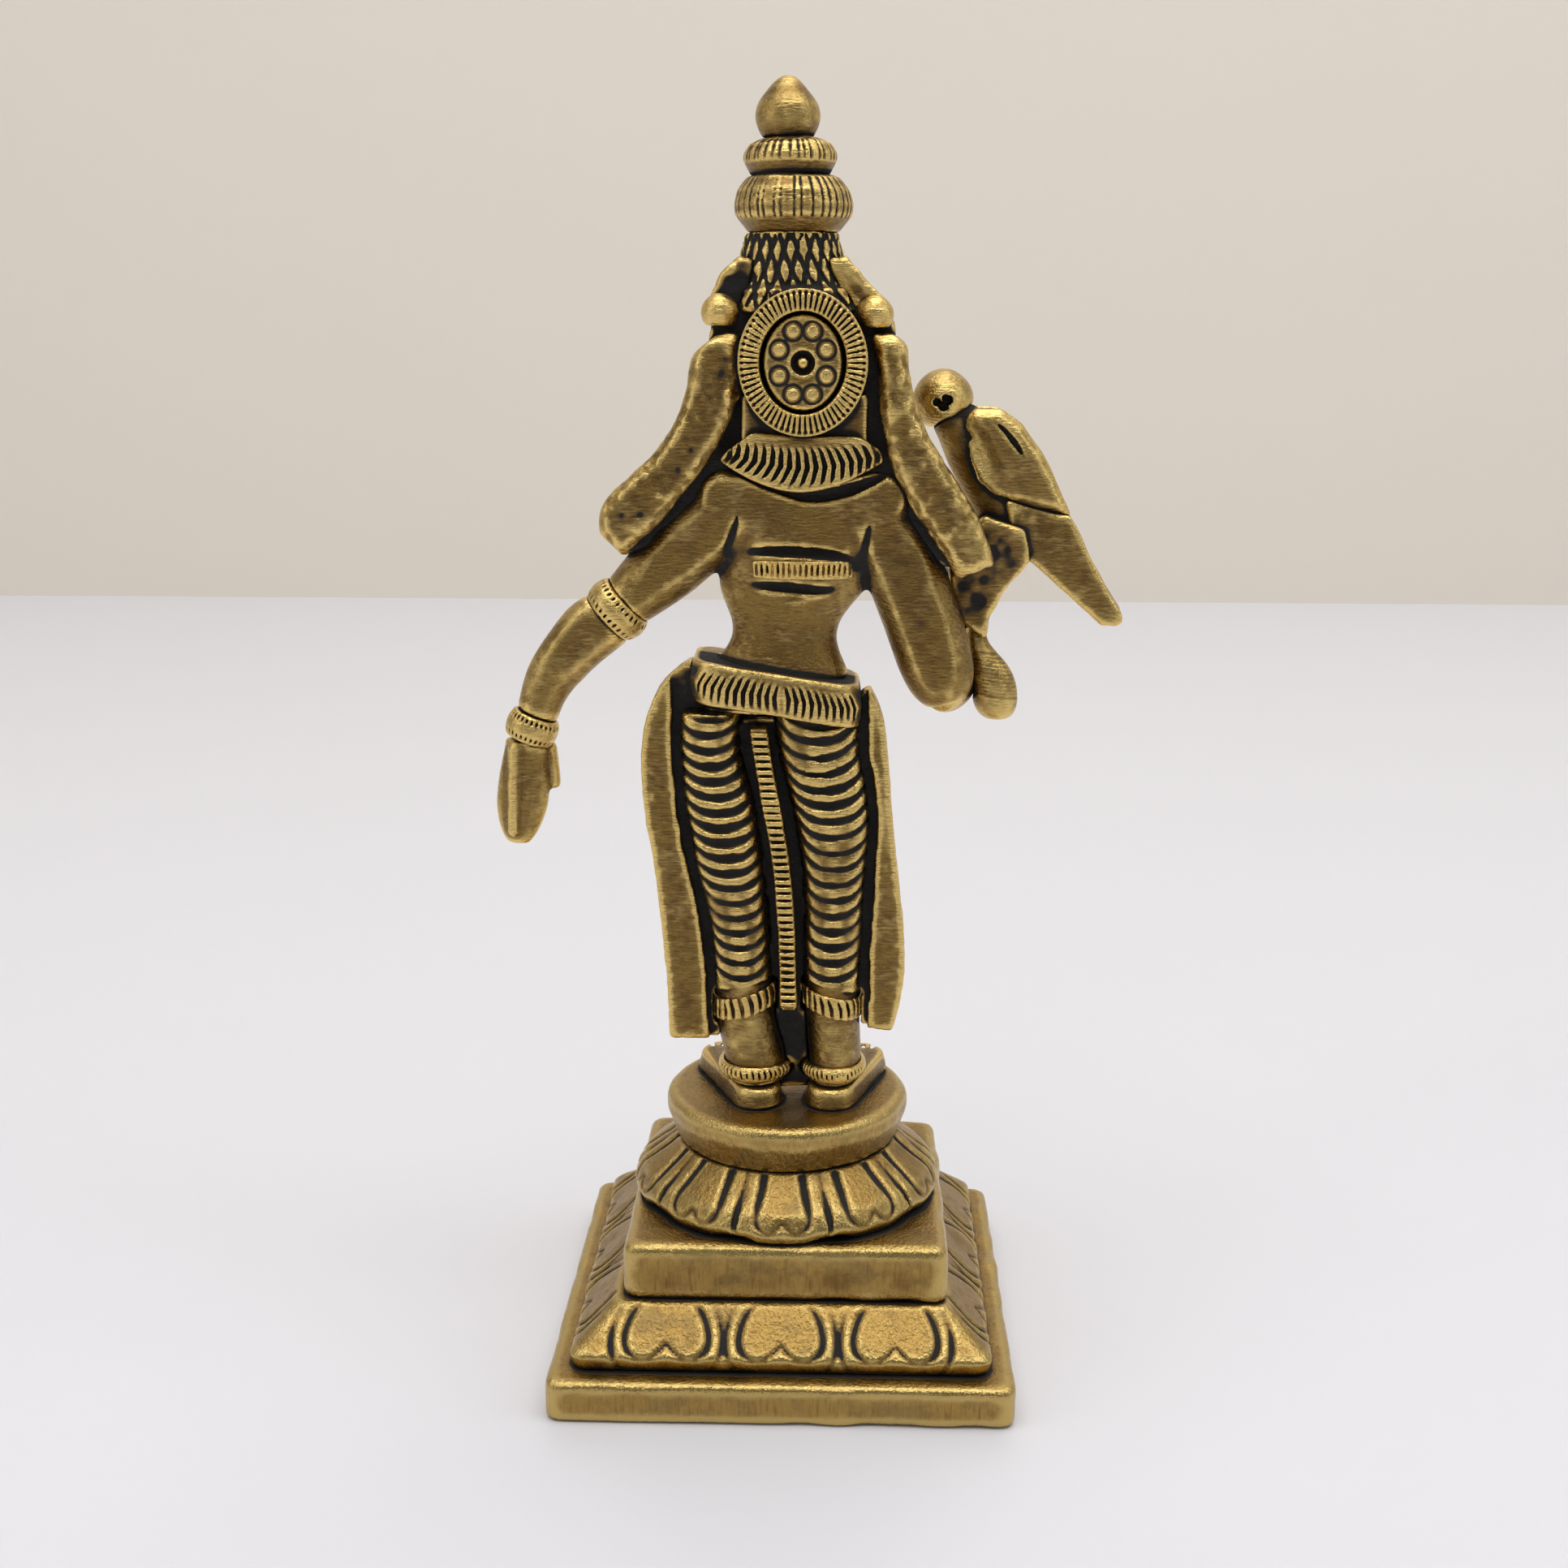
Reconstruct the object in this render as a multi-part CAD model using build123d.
from build123d import *
import os

# A small brass figure of a standing goddess with a parrot, on a lotus and a square base.
# +Z is up. The origin is the centre of the base on the surface that it stands on.
# The figure faces +Y, so its carved back faces -Y. Its right arm, with the parrot, is at +X.
# All sizes are millimetres.

# ---- base -------------------------------------------------------------------------------
base_width = 41.4
slab_height = 3.8
slab_corner = 1.3
slab_edge_round = 0.4
base_wall = 3.2             # thickness of the hollow base's side walls at the slab
roof_height = 2.2           # metal left over the hollow, under the lotus
ledge_width = 1.9           # slab top left bare around the petal tier
petal_tier_height = 4.9
petal_lip_height = 1.5
petal_lip_lean = 0.35       # how far the lip's foot is set back
step_width = 29.2
step_height = 5.3
step_edge_round = 0.7
step_shift = 0.3            # the step sits a little towards +X on the tier
lotus_radius = step_width / 2
lotus_height = 5.2
lotus_lip_height = 1.1
lotus_neck_radius = 10.3
disc_radius = 11.3
disc_foot_radius = 10.3
disc_height = 4.5
disc_edge_round = 0.8
rivet_radius = 2.5
rivet_head_radius = 4.5
rivet_head_height = 1.6
rivet_in_disc = 2.6
rivet_clearance = 0.05

# ---- feet and legs ----------------------------------------------------------------------
body_y = -1.6               # middle plane of the figure, front to back
foot_height = 1.9
foot_heel_radius = 2.5
foot_toe_radius = 2.8
heel_y = -4.3
toe_y = 4.0
left_heel_x = -2.6
left_toe_x = -5.9
right_heel_x = 4.2
right_toe_x = 6.8
foot_peg_radius = 1.1
foot_peg_depth = 1.8
peg_clearance = 0.05
anklet_rise = 1.9           # centre of the anklet above the deck
anklet_thick = 0.75
left_ankle_x = -3.0
left_ankle_half = 2.9
right_ankle_x = 4.5
right_ankle_half = 2.45
ankle_height = 6.0          # deck to the hem of the skirt
skirt_length = 30.8         # hem to the tops of the legs
leg_depth_top = 4.2         # half the depth of a leg, front to back
leg_depth_hem = 3.7
hem_band_height = 3.2
hem_band_rise = 2.0         # hem to the lower edge of the band
hem_band_lean = 13.0        # degrees, the bands rise towards the sash
hem_band_proud = 0.45

# ---- skirt ------------------------------------------------------------------------------
wing_back_y = -4.3          # back face of the spread pleats
wing_thick = 3.0
web_back_y = -3.3           # the metal between the legs
web_thick = 4.0
sash_width = 1.6
sash_proud = 0.5
pleat_thick = 2.5
belt_height = 3.8
belt_x = -0.9
belt_half_width = 7.3
belt_corner = 2.4
belt_proud = 0.4
belt_slope = 9.0            # degrees, the belt drops towards +X
clasp_radius = 1.7
clasp_thick = 1.0

# ---- trunk ------------------------------------------------------------------------------
waist_rise = 7.3            # tops of the legs to the narrowest point
waist_half_width = 4.7
chest_rise = 12.4           # narrowest point to the shoulders
neck_rise = 4.6             # shoulders to chin
neck_radius = 2.7
back_band_height = 1.7
back_band_proud = 0.5
bust_radius = 2.9
bust_gap = 6.6
collar_proud = 1.1
collar_drop = 2.15          # how far the collar sags down the back
collar_height = 4.8
collar_thick = 1.9
necklace_proud = 0.6
necklace_drop = 4.6
pendant_radius = 1.1

# ---- arms -------------------------------------------------------------------------------
arm_y = -2.2
armlet_length = 2.5
armlet_proud = 0.5
bangle_length = 2.5
bangle_proud = 0.45
right_bangle_radius = 1.75
hand_length = 9.6
hand_thick = 1.35
thumb_radius = 0.8
forearm_y = 2.0             # the bent forearm lies in front of the upper arm
stem_end_radius = 2.05

# ---- parrot -----------------------------------------------------------------------------
parrot_y = 2.2
parrot_head_radius = 2.7
parrot_body_radius = 2.7
parrot_body_depth = 2.2
wing_plate_thick = 1.4
wing_plate_proud = 0.9
tail_thick = 2.2
tail_back_y = -0.3
perch_back_y = -0.6
perch_thick = 3.0
beak_radius = 0.95

# ---- head, locks, halo and crown ---------------------------------------------------------
head_x = 0.9
head_half_width = 4.6
head_half_depth = 4.8
head_height = 11.2          # chin to the crown's foot
nape_x = 1.5
nape_half_width = 5.4       # the hair gathered behind the neck
nape_back_y = -5.0
nape_thick = 3.8
rosette_radius = 1.6
rosette_stem = 0.55         # the domes stand this far off the hair, on short stems
rosette_stem_radius = 0.7
rosette_stem_shift = 0.8    # the stems sit outwards of the domes' centres
earring_radius = 1.5
earring_thick = 1.5
lock_thick = 2.3
lock_back_y = -5.9
hair_web_thick = 2.2        # the thin metal between the locks, the head and the arms
halo_x = 1.4
halo_lift = 0.5
halo_half_width = 5.45
halo_half_height = 6.1
halo_rim_width = 1.9
halo_thick = 1.7
halo_rim_proud = 0.45
boss_radius = 0.62
stud_margin = 1.4           # stud centres to the edge of the plate
crown_x = 0.3
crown_lean = 0.15           # each ring of the crown sits a little further to -X
cone_height = 5.6
cone_foot_half_width = 5.6
cone_top_radius = 4.1
crown_band_height = 2.0
crown_band_proud = 2.0      # the crown's foot flares out over the ears
ring_low_radius = 5.1
ring_low_height = 4.7
ring_high_radius = 4.0
ring_high_height = 3.0
crown_neck_radius = 3.2
finial_radius = 2.75
finial_height = 5.1
finial_neck_radius = 2.15
crest_height = 5.2
crest_half_width = 2.6
crest_thick = 1.4
seat = 0.4                  # how deep a cut-to-fit piece is let into its neighbour before it is trimmed

# ---- levels, from the ground up -----------------------------------------------------------
slab_top = slab_height
tier_top = slab_top + petal_tier_height
step_top = tier_top + step_height
lotus_top = step_top + lotus_height
deck = lotus_top + disc_height
hem_z = deck + ankle_height
hip_z = hem_z + skirt_length
waist_z = hip_z + waist_rise
shoulder_z = waist_z + chest_rise
chin_z = shoulder_z + neck_rise
crown_z = chin_z + head_height
cone_top_z = crown_z + cone_height
ring_low_top = cone_top_z + ring_low_height
ring_high_top = ring_low_top + ring_high_height
tip_z = ring_high_top + finial_height
leg_back_y = body_y - leg_depth_top
torso_top = shoulder_z + 0.35 * neck_rise
web_front_y = web_back_y + web_thick


def square_at(width, z, corner):
    return Plane.XY.offset(z) * RectangleRounded(width, width, corner)


def ring_of(profile):
    """Turns a closed outline of (radius, z) points round the Z axis."""
    face = make_face(Polyline(*[(r, 0, z) for r, z in profile], close=True))
    return revolve(face, Axis.Z)


def bored(radius, low, high):
    return Pos(0, 0, low) * Cylinder(radius, high - low, align=(Align.CENTER, Align.CENTER, Align.MIN))


def column(sections):
    """A smooth upright form through ellipses, each (x, y, z, half width, half depth)."""
    return loft([Plane((x, y, z)) * Ellipse(rx, ry) for x, y, z, rx, ry in sections])


def limb(stations):
    """A smooth limb through ellipses square to its line, each ((x, y, z), side radius, depth radius)."""
    points = [Vector(*p) for p, _, _ in stations]
    planes = []
    for i, point in enumerate(points):
        before, after = points[max(i - 1, 0)], points[min(i + 1, len(points) - 1)]
        along = (after - before).normalized()
        planes.append(Plane(point, x_dir=Vector(along.Z, 0, -along.X), z_dir=along))
    return loft([plane * Ellipse(side, depth) for plane, (_, side, depth) in zip(planes, stations)])


def egg(centre, half_sizes):
    """An ellipsoid."""
    return Pos(*centre) * scale(Sphere(1), by=half_sizes)


def slab_of(outline, back_y, thick):
    """A plate in the XZ plane with its back at back_y, from an outline of (x, z) points."""
    face = make_face(Polyline(*[(x, back_y, z) for x, z in outline], close=True))
    return extrude(face, amount=thick, dir=(0, 1, 0))


def curved_slab(left, right, back_y, thick):
    """A plate whose two long sides are curves through (x, z) points, joined by straight ends."""
    a = Spline(*[(x, back_y, z) for x, z in left])
    b = Spline(*[(x, back_y, z) for x, z in right])
    ends = [Line(a @ 0, b @ 0), Line(a @ 1, b @ 1)]
    return extrude(make_face(Curve() + [a, ends[1], b, ends[0]]), amount=thick, dir=(0, 1, 0))


def trimmed(piece, *neighbours, smallest=0.03):
    """piece cut to fit against its neighbours. Offcuts under a share of the largest solid are dropped."""
    for neighbour in neighbours:
        piece = piece - neighbour
    solids = piece.solids()
    largest = max(s.volume for s in solids)
    return Compound([s for s in solids if s.volume > smallest * largest])


# ---- base ---------------------------------------------------------------------------------
def make_base(nodes):
    hollow = base_width - 2 * base_wall
    hollow_top = step_width - 2 * base_wall
    ceiling = step_top - roof_height
    cavity = loft([square_at(hollow, 0, slab_corner), square_at(hollow_top, tier_top, slab_corner)])
    cavity += Pos(0, 0, tier_top) * Box(hollow_top, hollow_top, ceiling - tier_top,
                                         align=(Align.CENTER, Align.CENTER, Align.MIN))

    slab = extrude(square_at(base_width, 0, slab_corner), amount=slab_height)
    slab = fillet(slab.edges().group_by(Axis.Z)[-1], slab_edge_round)
    nodes["plinth_slab"] = slab - cavity

    lip = base_width - 2 * ledge_width
    tier = loft([square_at(lip - 2 * petal_lip_lean, slab_top, slab_corner),
                 square_at(lip, slab_top + petal_lip_height, slab_corner)])
    tier += loft([square_at(lip, slab_top + petal_lip_height, slab_corner),
                  square_at(step_width + 0.8, tier_top, slab_corner)])
    nodes["petal_tier"] = tier - cavity

    step = Pos(step_shift, 0, 0) * extrude(square_at(step_width, tier_top, slab_corner), amount=step_height)
    step = fillet(step.edges().group_by(Axis.Z)[-1], step_edge_round)
    hole = bored(rivet_radius + rivet_clearance, 0, lotus_top + 1)
    nodes["square_step"] = step - cavity - hole

    lotus = ring_of([(0, step_top), (lotus_radius - 0.5, step_top),
                     (lotus_radius, step_top + lotus_lip_height),
                     (lotus_radius - 1.0, step_top + 0.5 * lotus_height),
                     (lotus_neck_radius + 1.2, step_top + 0.8 * lotus_height),
                     (lotus_neck_radius, lotus_top), (0, lotus_top)])
    nodes["lotus_ring"] = lotus - hole

    disc = ring_of([(0, lotus_top), (disc_foot_radius, lotus_top),
                    (disc_radius, deck - 0.4 * disc_height), (disc_radius, deck), (0, deck)])
    disc = fillet(disc.edges().filter_by(GeomType.CIRCLE).group_by(Axis.Z)[-1], disc_edge_round)
    disc -= bored(rivet_radius + rivet_clearance, lotus_top - 1, lotus_top + rivet_in_disc)
    for x in (left_heel_x, right_heel_x):
        hole = Cylinder(foot_peg_radius + peg_clearance, foot_peg_depth + 1,
                        align=(Align.CENTER, Align.CENTER, Align.MIN))
        disc -= Pos(x, heel_y, deck - foot_peg_depth) * hole
    nodes["foot_disc"] = disc

    rivet = bored(rivet_radius, ceiling, lotus_top + rivet_in_disc - rivet_clearance)
    head_foot = ceiling - rivet_head_height
    head = ring_of([(0, head_foot), (0.6 * rivet_head_radius, head_foot),
                    (rivet_head_radius, ceiling - 0.35 * rivet_head_height),
                    (rivet_head_radius, ceiling), (0, ceiling)])
    nodes["centre_rivet"] = rivet + head


# ---- feet and legs --------------------------------------------------------------------------
def make_leg(heel_x, ankle, stations):
    """ankle: (x, half width). stations: (share of the skirt's length, centre x, half width), hem first."""
    ankle_x, ankle_half = ankle
    foot_z, shin_z = deck + foot_height, deck + 0.75 * ankle_height
    sections = [((heel_x + ankle_x) / 2, body_y - 0.9, foot_z, ankle_half * 0.9, leg_depth_hem * 0.85),
                (ankle_x, body_y - 0.5, shin_z, ankle_half, leg_depth_hem * 0.9)]
    for share, x, half in stations:
        depth = leg_depth_hem + (leg_depth_top - leg_depth_hem) * share
        sections.append((x, body_y, hem_z + share * skirt_length, half, depth))
    return column(sections)


def make_foot(heel_x, toe_x):
    slices = []
    for rise, shrink in ((0, 0), (foot_height, 0.4)):
        low = Plane.XY.offset(deck + rise)
        heel = Pos(heel_x, heel_y) * Circle(foot_heel_radius - shrink)
        toes = Pos(toe_x, toe_y) * Circle(foot_toe_radius - shrink)
        slices.append(low * make_hull(heel.edges() + toes.edges()))
    foot = loft(slices)
    peg = Pos(heel_x, heel_y, deck - foot_peg_depth + peg_clearance) * Cylinder(
        foot_peg_radius, foot_peg_depth, align=(Align.CENTER, Align.CENTER, Align.MIN))
    return foot + peg


left_leg_stations = [(0.1, -3.8, 2.75), (0.2, -3.95, 2.7), (0.4, -4.4, 2.85), (0.6, -5.4, 3.15),
                     (0.8, -6.4, 3.0), (1.0, -6.4, 3.0)]
right_leg_stations = [(0.1, 4.25, 2.55), (0.2, 4.25, 2.6), (0.4, 4.35, 2.75), (0.6, 4.3, 3.15),
                      (0.8, 3.5, 3.65), (1.0, 3.1, 3.9)]


def make_legs(nodes):
    left_ankle, right_ankle = (left_ankle_x, left_ankle_half), (right_ankle_x, right_ankle_half)
    for side, heel_x, toe_x, ankle, stations, lean in (
            ("left", left_heel_x, left_toe_x, left_ankle, left_leg_stations, -hem_band_lean),
            ("right", right_heel_x, right_toe_x, right_ankle, right_leg_stations, hem_band_lean)):
        leg = make_leg(heel_x, ankle, stations)
        nodes[side + "_leg"] = leg
        foot = trimmed(make_foot(heel_x, toe_x), leg)
        nodes[side + "_foot"] = foot
        ring_x = (heel_x + 2 * ankle[0]) / 3
        ring_z = deck + foot_height + anklet_rise - anklet_thick
        half, depth = ankle[1] * 0.95, leg_depth_hem * 0.9
        ring = column([(ring_x, body_y - 0.6, ring_z - anklet_thick, half + 0.35, depth + 0.3),
                       (ring_x, body_y - 0.6, ring_z, half + anklet_thick, depth + 0.65),
                       (ring_x, body_y - 0.6, ring_z + anklet_thick, half + 0.35, depth + 0.3)])
        nodes[side + "_anklet"] = trimmed(ring, leg, foot)
        band_x, band_half = stations[0][1], stations[0][2] + hem_band_proud
        edges = []
        for rise in (0, hem_band_height):
            plane = Plane((band_x, body_y, hem_z + hem_band_rise + rise)).rotated((0, lean, 0))
            edges.append(plane * Ellipse(band_half, leg_depth_hem + hem_band_proud))
        nodes[side + "_hem_band"] = trimmed(loft(edges), leg)


# ---- skirt --------------------------------------------------------------------------------------
def make_skirt(nodes):
    legs = [nodes["left_leg"], nodes["right_leg"], nodes["left_hem_band"], nodes["right_hem_band"]]

    def level(share):
        return hem_z + share * skirt_length

    left = curved_slab([(-10.8, level(0)), (-11.3, level(0.33)), (-12.1, level(0.56)), (-13.0, level(0.87)),
                        (-11.6, level(1.05)), (-8.4, level(1.15))],
                       [(-5.4, level(0)), (-5.6, level(0.33)), (-6.0, level(0.56)), (-6.6, level(0.87)),
                        (-6.4, level(1.0)), (-6.0, level(1.09))], wing_back_y, wing_thick)
    right = curved_slab([(5.4, level(0.05)), (5.4, level(0.33)), (5.6, level(0.56)), (5.6, level(0.87)),
                         (5.4, level(0.95)), (5.0, level(1.02))],
                        [(9.8, level(0.03)), (10.8, level(0.2)), (9.9, level(0.58)), (9.1, level(0.87)),
                         (8.6, level(0.98)), (7.4, level(1.07))], wing_back_y, wing_thick)
    web = slab_of([(-3.0, deck + 1.0), (4.0, deck + 1.0), (4.2, level(0.1)), (3.4, level(0.98)),
                   (-6.0, level(0.98)), (-4.0, level(0.1))], web_back_y, web_thick)
    belt_mid = hip_z + 0.5 * belt_height

    def belt_section(rise, proud):
        plane = Plane((belt_x, body_y, belt_mid + rise)).rotated((0, belt_slope, 0))
        width, depth = 2 * (belt_half_width + proud), 2 * (leg_depth_top + 0.3 + proud)
        return plane * RectangleRounded(width, depth, belt_corner)

    belt = loft([belt_section(-0.5 * belt_height, 0.2), belt_section(0, belt_proud)])
    belt += loft([belt_section(0, belt_proud), belt_section(0.5 * belt_height, 0.1)])
    trunk = nodes["torso"]
    belt = trimmed(belt, legs[0], legs[1], trunk)
    nodes["hip_belt"] = belt
    nodes["left_skirt_wing"] = trimmed(left, *legs, belt, trunk)
    nodes["right_skirt_wing"] = trimmed(right, *legs, belt, trunk)
    low = [nodes[side + part] for side in ("left", "right") for part in ("_foot", "_anklet")]
    nodes["skirt_web"] = trimmed(web, *legs, belt, trunk, *low)
    centre = [(-2.45, level(0.96)), (-2.0, level(0.86)), (-1.35, level(0.74)), (-0.65, level(0.61)),
              (-0.2, level(0.49)), (0.05, level(0.36)), (0.3, level(0.11))]
    edges = [[(x + side * sash_width / 2, z) for x, z in centre] for side in (-1, 1)]
    sash = curved_slab(edges[0], edges[1], leg_back_y - sash_proud + 0.6,
                       web_back_y - leg_back_y + sash_proud + seat)
    nodes["centre_sash"] = trimmed(sash, *legs, nodes["skirt_web"], belt, trunk)
    pleats = slab_of([(-2.6, level(0.97)), (0.4, level(0.97)), (3.6, level(0.03)), (-2.9, level(0.03))],
                     web_front_y, pleat_thick)
    nodes["front_pleats"] = trimmed(pleats, *legs, belt, trunk, nodes["skirt_web"])
    clasp_plane = Plane((belt_x, body_y + leg_depth_top - 0.6, belt_mid), x_dir=(1, 0, 0), z_dir=(0, 1, 0))
    clasp = extrude(clasp_plane * Circle(clasp_radius), amount=clasp_thick + 0.9 + belt_proud)
    nodes["belt_clasp"] = trimmed(clasp, belt, trunk, legs[0], legs[1], nodes["front_pleats"])


# ---- trunk ----------------------------------------------------------------------------------------
def torso_form(proud=0.0):
    sections = [(-0.9, hip_z, 7.0, 3.9), (-0.9, hip_z + 0.5 * waist_rise, 6.2, 3.4),
                (-0.4, hip_z + 0.76 * waist_rise, 4.95, 2.9), (-0.15, waist_z, waist_half_width, 2.8),
                (0.3, waist_z + 0.22 * chest_rise, 6.0, 3.1),
                (0.9, waist_z + 0.42 * chest_rise, 6.9, 3.4), (1.3, waist_z + 0.7 * chest_rise, 7.3, 3.7),
                (1.5, shoulder_z, 7.3, 3.1),
                (1.4, torso_top, 4.4, 2.6)]
    return column([(x, body_y, z, rx + proud, ry + proud) for x, z, rx, ry in sections])


def make_trunk_trim(nodes):
    torso, arms = nodes["torso"], [nodes["left_upper_arm"], nodes["right_upper_arm"]]
    band_z = waist_z + 0.44 * chest_rise
    band = column([(1.0, body_y, band_z - back_band_height / 2, 6.3, 3.35 + back_band_proud),
                   (1.1, body_y, band_z + back_band_height / 2, 6.5, 3.55 + back_band_proud)])
    nodes["breast_band"] = trimmed(band, torso, *arms)
    bust_z = waist_z + 0.62 * chest_rise
    bust_sizes = (bust_radius, bust_radius * 0.95, bust_radius)
    busts = [egg((1.1 + s * bust_gap / 2, body_y + 3.1, bust_z), bust_sizes) for s in (-1, 1)]
    nodes["bodice"] = trimmed(busts[0] + busts[1], torso, nodes["breast_band"], *arms)
    collar_top = torso_top + 0.33
    collar_low = [(-5.7, collar_top + 0.5), (-3.2, collar_top - 0.47 * collar_drop),
                  (1.4, collar_top - collar_drop), (5.8, collar_top - 0.42 * collar_drop),
                  (8.3, collar_top + 0.4)]
    collar_high = [(x * 0.9 + 0.3, collar_top - collar_drop + share * collar_height) for x, share in
                   ((-5.5, 1.03), (-2.4, 1.05), (1.4, 1.0), (5.2, 1.0), (8.5, 0.92))]
    collar = curved_slab(collar_low, collar_high, body_y - 3.0 - collar_proud, collar_thick)
    nodes["nape_collar"] = trimmed(collar, torso, *arms, nodes["head"], smallest=0.5)
    drop = necklace_drop
    outer = [(-3.9, collar_top - 1.4), (-1.6, torso_top - 0.8 * drop), (1.4, torso_top - drop - 0.6),
             (4.4, torso_top - 0.8 * drop), (6.7, collar_top - 1.4)]
    inner = [(-2.4, collar_top - 0.6), (-0.9, torso_top - 0.4 * drop), (1.4, torso_top - 0.55 * drop),
             (3.7, torso_top - 0.4 * drop), (5.2, collar_top - 0.6)]
    shell = torso_form(necklace_proud) & curved_slab(outer, inner, body_y + 0.2, 9)
    necklace = trimmed(shell, torso, nodes["head"], *arms)
    nodes["necklace"] = trimmed(necklace, nodes["bodice"])
    pendant_z = torso_top - drop - 0.4 * pendant_radius
    pendant = egg((1.4, body_y + 4.1, pendant_z), (pendant_radius, 0.8, pendant_radius * 1.2))
    nodes["pendant"] = trimmed(pendant, torso, nodes["necklace"], nodes["bodice"])


# ---- arms -----------------------------------------------------------------------------------------
def make_arms(nodes):
    torso = nodes["torso"]
    shoulder = Vector(-4.4, arm_y, shoulder_z - 1.2)
    middle = Vector(-9.2, arm_y, shoulder_z - 5.6)
    elbow = Vector(-14.1, arm_y, shoulder_z - 10.0)
    upper = limb([(tuple(shoulder), 3.1, 2.8), (tuple(middle), 3.3, 2.75), (tuple(elbow), 2.5, 2.5)])
    nodes["left_upper_arm"] = trimmed(upper, torso)

    along = (elbow - middle).normalized()
    cuff_end = elbow + along * armlet_length
    plane = Plane(elbow, x_dir=Vector(along.Z, 0, -along.X), z_dir=along)
    cuff = loft([plane.offset(h) * Ellipse(2.5 + p, 2.5 + p)
                 for h, p in ((0, 0.1), (0.5 * armlet_length, armlet_proud), (armlet_length, 0.1))])
    nodes["left_armlet"] = cuff
    wrist = Vector(-22.5, arm_y, shoulder_z - 20.4)
    low_fore = Vector(-21.4, arm_y, shoulder_z - 17.6)
    mid_fore = Vector(-19.2, arm_y, shoulder_z - 14.4)
    fore = limb([(tuple(cuff_end), 2.65, 2.4), (tuple(mid_fore), 2.6, 2.2), (tuple(low_fore), 2.2, 1.9),
                 (tuple(wrist), 1.95, 1.8)])
    nodes["left_forearm"] = trimmed(fore, cuff)
    down = (wrist - low_fore).normalized()
    plane = Plane(wrist, x_dir=Vector(down.Z, 0, -down.X), z_dir=down)
    bangle = loft([plane.offset(h) * Ellipse(1.95 + p, 1.8 + p)
                   for h, p in ((0, 0.15), (0.5 * bangle_length, bangle_proud), (bangle_length, 0.15))])
    nodes["left_bangle"] = bangle
    palm = wrist + down * bangle_length
    tip = palm + Vector(-1.1, 0, -hand_length)
    hand = limb([(tuple(palm), 1.95, 1.5), (tuple(palm + (tip - palm) * 0.4), 2.3, hand_thick),
                 (tuple(palm + (tip - palm) * 0.8), 2.0, hand_thick * 0.85),
                 (tuple(tip), 1.0, hand_thick * 0.6)])
    thumb_top, thumb_tip = palm + Vector(1.7, 0.6, -0.4), palm + Vector(2.3, 0.6, -4.6)
    thumb = limb([(tuple(thumb_top), thumb_radius, thumb_radius),
                  (tuple(thumb_top * 0.5 + thumb_tip * 0.5), thumb_radius, thumb_radius),
                  (tuple(thumb_tip), thumb_radius * 0.7, thumb_radius * 0.7)])
    nodes["left_hand"] = trimmed(hand + thumb, bangle)

    stations = [(6.4, 1.0, 2.8, 2.6), (8.5, 3.9, 3.2, 2.8), (10.9, 8.7, 3.4, 2.9), (12.9, 14.4, 3.35, 2.9),
                (13.8, 17.3, 2.9, 2.5), (14.2, 19.0, 1.8, 1.6)]
    upper = limb([((x, arm_y, shoulder_z - drop), side, depth) for x, drop, side, depth in stations])
    nodes["right_upper_arm"] = trimmed(upper, torso)
    wrist = Vector(16.1, forearm_y + 1.3, shoulder_z - 12.6)
    bend = Vector(15.7, forearm_y + 1.0, shoulder_z - 16.2)
    fore = limb([((13.7, arm_y + 1.4, shoulder_z - 18.2), 1.9, 1.9),
                 ((15.0, forearm_y - 0.4, shoulder_z - 18.0), 2.1, 2.1), (tuple(bend), 1.9, 1.9),
                 (tuple(wrist), 1.5, 1.6)])
    nodes["right_forearm"] = trimmed(fore, nodes["right_upper_arm"])
    cuff = extrude(Plane(wrist, z_dir=(wrist - bend).normalized()) * Circle(right_bangle_radius), amount=1.2)
    nodes["right_bangle"] = trimmed(cuff, nodes["right_forearm"], nodes["right_upper_arm"])
    hand = egg((16.9, forearm_y + 1.1, shoulder_z - 9.6), (1.9, 2.3, 2.5))
    nodes["right_hand"] = trimmed(hand, nodes["right_forearm"], nodes["right_bangle"],
                                  nodes["right_upper_arm"])
    stem_y = forearm_y - 0.9
    stations = [(19.0, 21.1, 0.45), (18.95, 20.5, 0.82), (18.85, 19.3, 1.0), (17.9, 15.8, 0.75),
                (16.9, 12.4, 0.5)]
    stem = limb([((x, stem_y, shoulder_z - drop), share * stem_end_radius, share * stem_end_radius)
                 for x, drop, share in stations])
    others = [nodes["right_" + part] for part in ("hand", "forearm", "bangle", "upper_arm")]
    nodes["flower_stem"] = trimmed(stem, *others)


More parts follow.
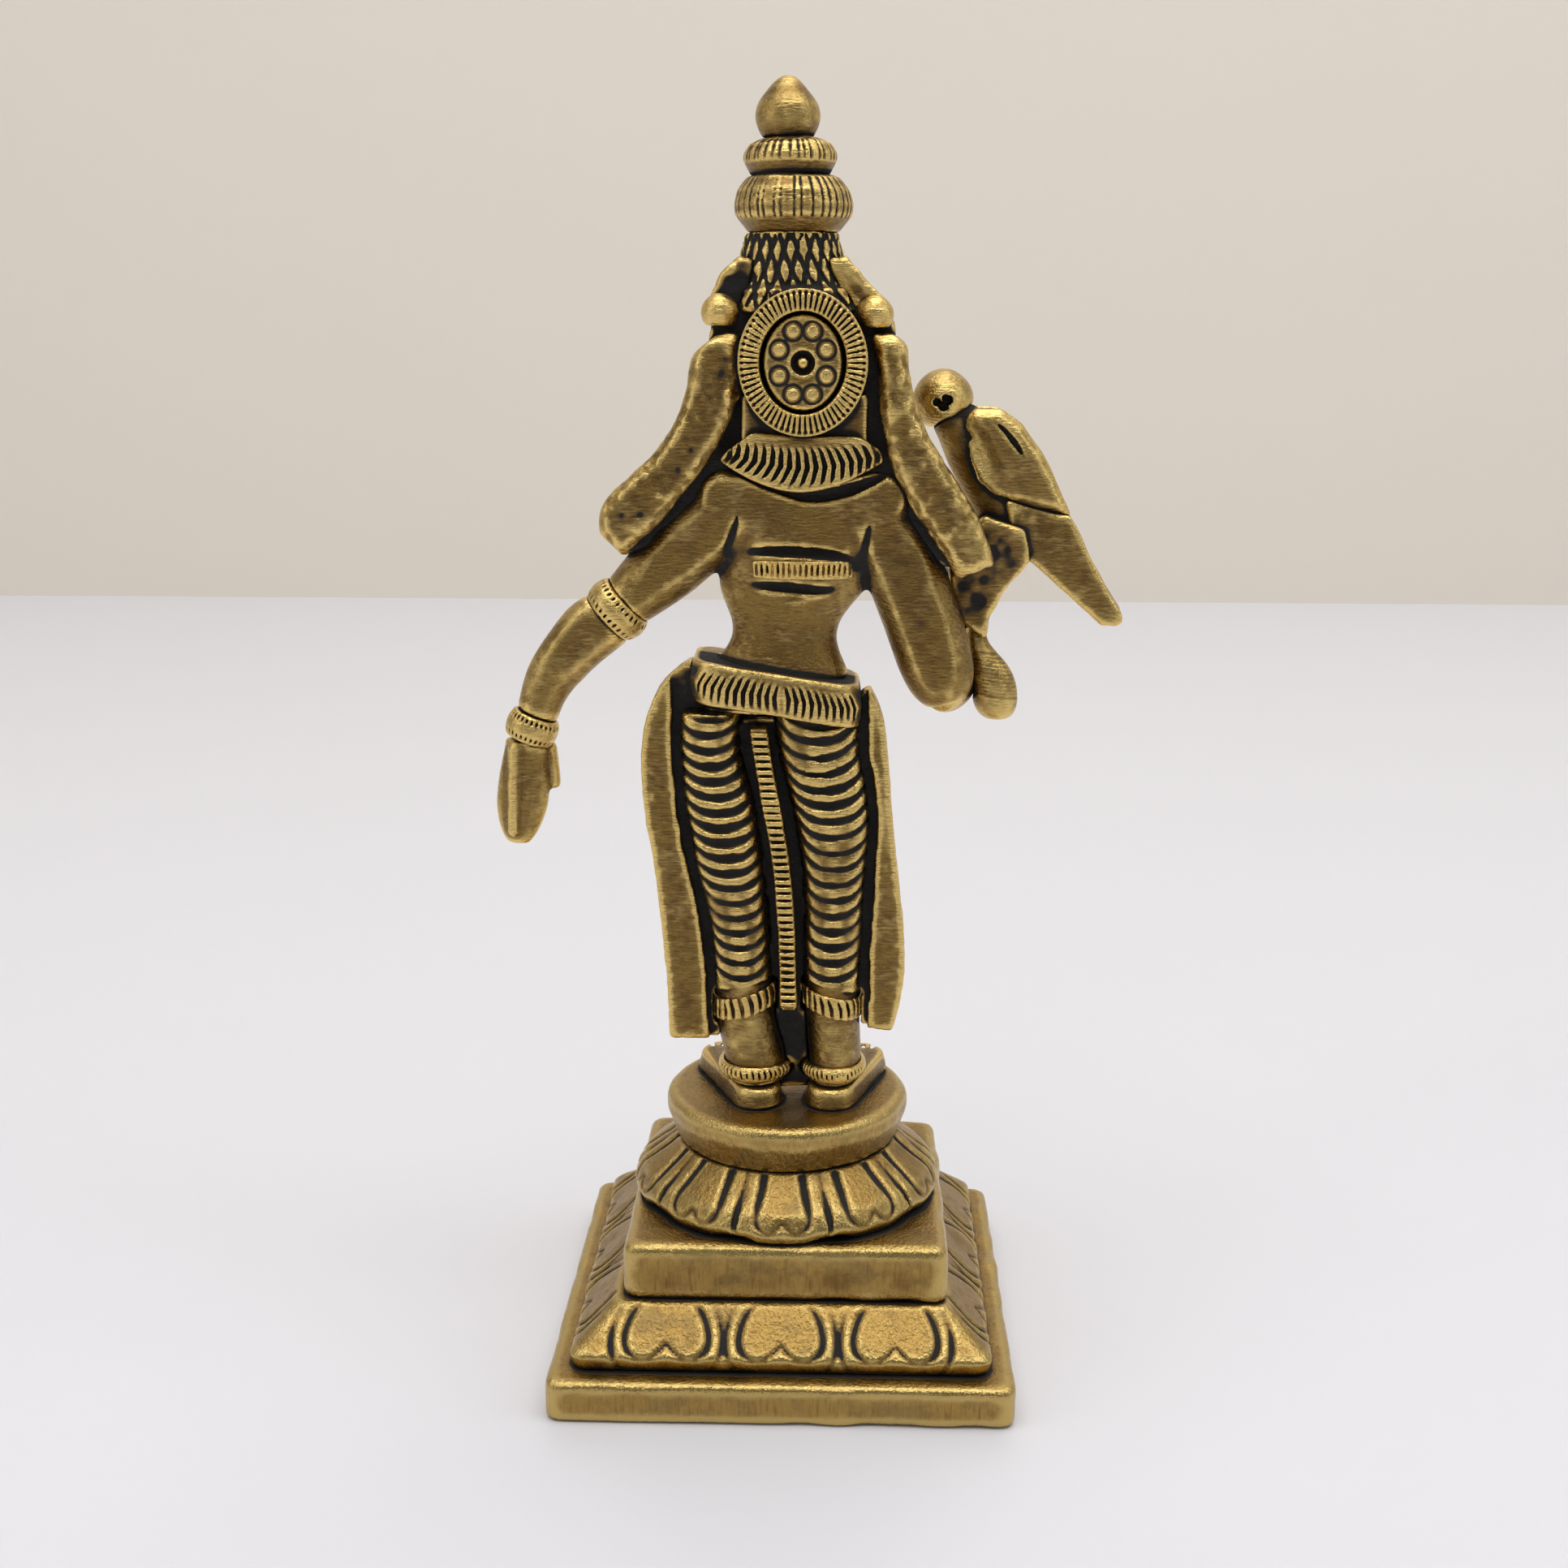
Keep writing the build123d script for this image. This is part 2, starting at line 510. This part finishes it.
# ---- parrot -----------------------------------------------------------------------------------------
def make_parrot(nodes):
    z0 = shoulder_z
    head_at = Vector(13.6, parrot_y, z0 + 7.3)
    breast, rump = Vector(16.6, parrot_y, z0 + 3.0), Vector(20.6, parrot_y, z0 - 4.6)
    body = limb([(tuple(head_at + Vector(0.4, 0, -1.2)), 1.7, 1.9),
                 (tuple(breast), parrot_body_radius, parrot_body_depth),
                 (tuple((breast + rump) * 0.5), parrot_body_radius, 0.95 * parrot_body_depth),
                 (tuple(rump), 2.0, 0.8 * parrot_body_depth),
                 (tuple(rump + Vector(0.4, 0, -1.6)), 1.0, 1.0)])
    outline = [(14.2, 6.2), (17.5, 2.9), (20.9, 4.0), (21.3, 6.5), (20.3, 8.0), (18.9, 9.5), (17.8, 11.6),
               (17.5, 13.2), (15.2, 11.6)]
    perch = slab_of([(x, z0 - drop) for x, drop in outline], perch_back_y, perch_thick)
    nodes["parrot_body"] = body
    head = Pos(*head_at) * Sphere(parrot_head_radius)
    beak = limb([(tuple(head_at + Vector(-1.2, 1.4, 0.2)), beak_radius, beak_radius),
                 (tuple(head_at + Vector(-2.6, 2.6, -0.6)), beak_radius * 0.8, beak_radius * 0.8),
                 (tuple(head_at + Vector(-3.0, 3.0, -1.9)), beak_radius * 0.35, beak_radius * 0.35)])
    nodes["parrot_head"] = trimmed(head + beak, body)
    outline = [(15.1, 4.8), (15.5, 6.0), (16.3, 6.7), (18.5, 6.7), (20.4, 5.3), (22.2, 3.0), (23.7, 0.2),
               (25.1, -2.7), (21.3, -1.8), (18.1, -0.9), (16.6, 0.4), (15.7, 2.3)]
    out = parrot_body_depth + wing_plate_proud
    for name, back_y in (("parrot_back_wing", parrot_y - out),
                         ("parrot_front_wing", parrot_y + out - wing_plate_thick)):
        wing = slab_of([(x, z0 + rise) for x, rise in outline], back_y, wing_plate_thick)
        nodes[name] = trimmed(wing, body, nodes["parrot_head"])
    outline = [(19.0, 0.9), (24.8, 2.4), (26.8, 6.2), (28.5, 9.0), (29.9, 11.2), (30.0, 12.1), (29.3, 12.5),
               (28.0, 12.4), (26.0, 10.7), (23.8, 8.7), (21.4, 6.7), (20.2, 5.0)]
    tail = slab_of([(x, z0 - drop) for x, drop in outline], tail_back_y, tail_thick)
    nodes["parrot_tail"] = trimmed(tail, body, nodes["parrot_back_wing"], nodes["parrot_front_wing"])
    arm = [nodes["right_" + part] for part in ("hand", "forearm", "bangle", "upper_arm")]
    nodes["parrot_perch"] = trimmed(perch, body, nodes["parrot_tail"], nodes["flower_stem"], *arm)


# ---- head, locks and halo -----------------------------------------------------------------------------
def make_head(nodes):
    middle = (chin_z + crown_z) / 2
    skull = egg((head_x, body_y + 0.9, middle + 0.4),
                (head_half_width, head_half_depth, head_height / 2 + 0.6))
    skull &= Pos(head_x, body_y, middle) * Box(30, 30, head_height)
    neck = column([(1.4, body_y, torso_top, neck_radius + 0.6, neck_radius - 0.2),
                   (head_x + 0.2, body_y, chin_z + 1.5, neck_radius, neck_radius)])
    nape_low, nape_high = chin_z - 0.6, chin_z + 3.4
    nape = slab_of([(nape_x - nape_half_width, nape_low), (nape_x - nape_half_width, nape_high),
                    (nape_x + nape_half_width, nape_high), (nape_x + nape_half_width, nape_low)],
                   nape_back_y, nape_thick)
    nodes["head"] = skull + neck + nape
    for side, sign in (("left", -1), ("right", 1)):
        plane = Plane((head_x + sign * (head_half_width + 0.5), body_y + 0.2, chin_z + 0.28 * head_height),
                      x_dir=(1, 0, 0), z_dir=(0, 1, 0))
        disc = extrude(plane * Circle(earring_radius), amount=earring_thick)
        nodes[side + "_earring"] = trimmed(disc, nodes["head"])


def make_locks(nodes):
    z0 = shoulder_z
    fixed = [nodes[n] for n in ("torso", "left_upper_arm", "right_upper_arm", "head", "parrot_head",
                                "parrot_body", "parrot_back_wing", "parrot_perch", "right_hand",
                                "nape_collar")]

    def raised(points):
        return [(x, z0 + rise) for x, rise in points]

    left = curved_slab(raised([(-7.6, 13.0), (-8.9, 7.0), (-10.2, 4.3), (-13.5, 0.9), (-15.7, -1.4),
                               (-16.0, -3.7)]),
                       raised([(-4.3, 13.0), (-4.4, 7.0), (-6.5, 3.0), (-9.5, -1.0), (-14.2, -5.7)]),
                       lock_back_y, lock_thick)
    right = curved_slab(raised([(7.3, 13.0), (8.0, 7.6), (9.1, 2.2), (12.0, -3.0), (14.9, -7.4)]),
                        raised([(10.0, 13.0), (10.5, 8.8), (11.8, 5.0), (15.0, -0.2), (17.8, -6.2)]),
                        lock_back_y, lock_thick)
    nodes["left_lock"] = trimmed(left, *fixed)
    nodes["right_lock"] = trimmed(right, *fixed)
    web_y = lock_back_y + lock_thick
    left_web = slab_of(raised([(-4.0, 19.0), (-5.4, 17.7), (-6.1, 16.2), (-6.1, 13.3), (-6.6, 10.3),
                               (-7.6, 7.0), (-9.5, 3.5), (-12.0, 0.0), (-14.6, -3.4), (-14.2, -5.4),
                               (-9.2, -3.7), (-5.6, 0.2), (-2.0, 2.3), (-2.0, 19.0)]), web_y, hair_web_thick)
    right_web = slab_of(raised([(4.8, 19.0), (6.4, 17.2), (8.1, 15.6), (8.7, 13.8), (9.2, 10.4),
                                (9.9, 6.3), (11.4, 2.8), (13.6, -0.7), (15.7, -4.2), (16.0, -6.8),
                                (13.6, -6.3), (8.6, 0.0), (5.0, 2.3), (3.0, 19.0)]),
                        web_y, hair_web_thick)
    around = [nodes[n] for n in ("head", "torso", "left_upper_arm", "right_upper_arm", "nape_collar",
                                 "crown_cone", "crown_band", "left_earring", "right_earring",
                                 "parrot_head")]
    nodes["hair_web"] = trimmed(left_web + right_web, *around)
    for side, sign, x, rise in (("left", -1, -5.7, 14.8), ("right", 1, 7.4, 14.65)):
        dome_y = web_y - rosette_stem
        width = 2 * rosette_radius
        dome = Pos(x, dome_y, z0 + rise) * Sphere(rosette_radius)
        dome &= Pos(x, dome_y - rosette_radius, z0 + rise) * Box(1.1 * width, width, 1.1 * width)
        stem_at = (x + sign * rosette_stem_shift, dome_y - rosette_stem, z0 + rise)
        stem = Plane(stem_at, z_dir=(0, 1, 0)) * Circle(rosette_stem_radius)
        nodes[side + "_rosette"] = dome + extrude(stem, amount=2 * rosette_stem)


def make_halo(nodes):
    middle = chin_z + 0.5 * head_height + halo_lift
    face_y = body_y + 0.9 - head_half_depth - halo_thick
    plane = Plane((halo_x, face_y, middle), x_dir=(1, 0, 0), z_dir=(0, 1, 0))
    inner = Ellipse(halo_half_width - halo_rim_width, halo_half_height - halo_rim_width)
    plate = extrude(plane * inner, amount=halo_thick + 2.5)
    rim_face = plane.offset(-halo_rim_proud) * (Ellipse(halo_half_width, halo_half_height) - inner)
    rim = extrude(rim_face, amount=halo_thick + halo_rim_proud + 1.2)
    others = [nodes[n] for n in ("head", "crown_band", "crown_cone", "nape_collar", "hair_web", "left_lock",
                                 "right_lock", "left_rosette", "right_rosette")]
    nodes["halo_plate"] = trimmed(plate, *others)
    nodes["halo_rim"] = trimmed(rim, *others)
    bosses = None
    ring_w = halo_half_width - halo_rim_width - stud_margin
    ring_h = halo_half_height - halo_rim_width - stud_margin
    spots = [(0, 0)] + [(ring_w * Vector(1, 0, 0).rotate(Axis.Z, 22.5 + 45 * i).X,
                         ring_h * Vector(1, 0, 0).rotate(Axis.Z, 22.5 + 45 * i).Y) for i in range(8)]
    for dx, dz in spots:
        stud = Pos(halo_x + dx, face_y, middle + dz) * Sphere(boss_radius)
        bosses = stud if bosses is None else bosses + stud
    nodes["halo_bosses"] = trimmed(bosses, nodes["halo_plate"])


# ---- crown --------------------------------------------------------------------------------------------
def make_crown(nodes):
    cone_y = body_y + 0.9
    band = column([(head_x, cone_y, crown_z - crown_band_height / 2, head_half_width + crown_band_proud,
                    head_half_depth + 0.3),
                   (0.6, cone_y, crown_z + crown_band_height / 2, cone_foot_half_width, 5.0)])
    nodes["crown_band"] = trimmed(band, nodes["head"])
    cone = column([(0.6, cone_y, crown_z + crown_band_height / 2, cone_foot_half_width - 0.3, 4.7),
                   (crown_x, cone_y, crown_z + 0.64 * cone_height,
                    cone_top_radius + 0.35, cone_top_radius + 0.3),
                   (crown_x, cone_y, cone_top_z, cone_top_radius, cone_top_radius)])
    nodes["crown_cone"] = cone

    def turned(profile, x, low):
        return Pos(x, cone_y, low) * ring_of(profile)

    h, r, n = ring_low_height, ring_low_radius, crown_neck_radius
    barrel = [(0, 0), (n + 0.7, 0), (r - 0.1, 0.3 * h), (r, 0.5 * h), (r - 0.3, 0.74 * h),
              (n + 0.8, 0.95 * h), (n + 0.2, h), (0, h)]
    nodes["crown_low_ring"] = turned(barrel, crown_x + crown_lean, cone_top_z)
    h, r, m = ring_high_height, ring_high_radius, finial_neck_radius
    barrel = [(0, 0), (n + 0.1, 0), (r, 0.4 * h), (r, 0.58 * h), (0.88 * r, 0.85 * h), (m + 0.4, h), (0, h)]
    nodes["crown_high_ring"] = turned(barrel, crown_x - crown_lean, ring_low_top)
    h, r = finial_height, finial_radius
    bud = Spline((m, 0, 0.0), (r, 0, 0.28 * h), (0.93 * r, 0, 0.55 * h), (0.66 * r, 0, 0.8 * h),
                 (0.0, 0, h), tangents=[(0.6, 0, 1), (-1, 0, 0.45)])
    face = make_face(Curve() + [bud, Line((0, 0, h), (0, 0, 0)), Line((0, 0, 0), (m, 0, 0))])
    nodes["crown_finial"] = Pos(crown_x - 2.5 * crown_lean, cone_y, ring_high_top) * revolve(face, Axis.Z)

    crest_z = crown_z - 0.3
    outline = [(-crest_half_width, crest_z), (-crest_half_width * 0.9, crest_z + 0.55 * crest_height),
               (0, crest_z + crest_height), (crest_half_width * 0.9, crest_z + 0.55 * crest_height),
               (crest_half_width, crest_z)]
    crest = slab_of([(x + 0.6, z) for x, z in outline], cone_y + 3.6, crest_thick + 1.2)
    nodes["crown_crest"] = trimmed(crest, nodes["crown_cone"], nodes["crown_band"], nodes["head"])


def main():
    nodes = {}
    make_base(nodes)
    nodes["torso"] = torso_form()
    make_legs(nodes)
    make_skirt(nodes)
    make_arms(nodes)
    make_head(nodes)
    make_trunk_trim(nodes)
    make_parrot(nodes)
    make_crown(nodes)
    make_locks(nodes)
    make_halo(nodes)
    os.makedirs("parts", exist_ok=True)
    for name, shape in nodes.items():
        export_step(shape, "parts/" + name + ".step")
    print(len(nodes), "nodes, tip at", round(tip_z, 2))


main()
